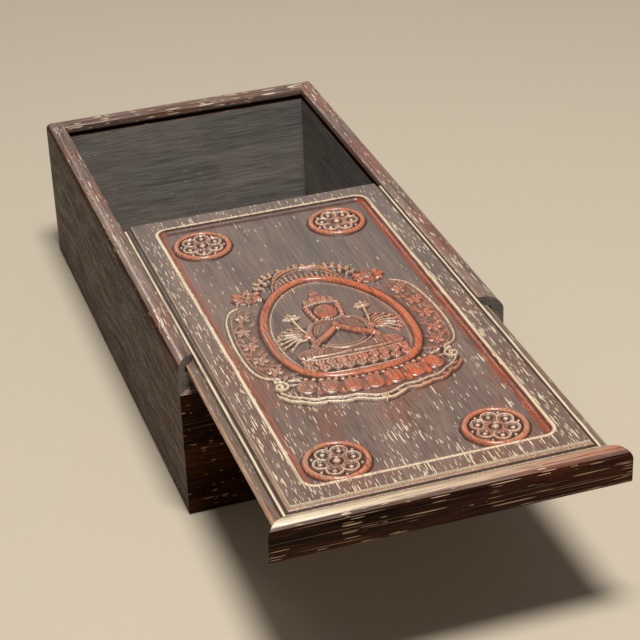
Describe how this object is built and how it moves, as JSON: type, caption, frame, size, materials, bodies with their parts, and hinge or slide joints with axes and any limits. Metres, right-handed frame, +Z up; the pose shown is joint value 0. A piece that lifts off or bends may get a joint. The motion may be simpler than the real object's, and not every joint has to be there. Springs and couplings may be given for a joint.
{
  "type": "carved wooden box with sliding lid",
  "caption": "Long mitred hardwood box with a carved lid that slides out at the front in a groove round its inner faces.",
  "frame": {"origin": "centre of the closed box's underside, on the underside of the bottom board", "axes": "+X to the right seen from the front, +Y from the front to the back, +Z up; the lid slides out along -Y"},
  "size_m": [0.15, 0.404, 0.0775],
  "materials": {
    "dark_hardwood": "waxed, semi-gloss",
    "worn_hardwood": "waxed, worn on the high places",
    "plain_hardwood": "planed, no wax"
  },
  "bodies": {
    "box": {"left_wall": "dark_hardwood", "right_wall": "dark_hardwood", "back_wall": "dark_hardwood", "front_wall": "dark_hardwood", "bottom_board": "plain_hardwood"},
    "lid": {"lid_panel": "worn_hardwood", "lid_front_bar": "dark_hardwood"}
  },
  "joints": [
    {"name": "lid_slide", "type": "slide", "parent": "box", "child": "lid", "axis": [0, -1, 0], "range_m": [-0.13, 0.128]}
  ]
}
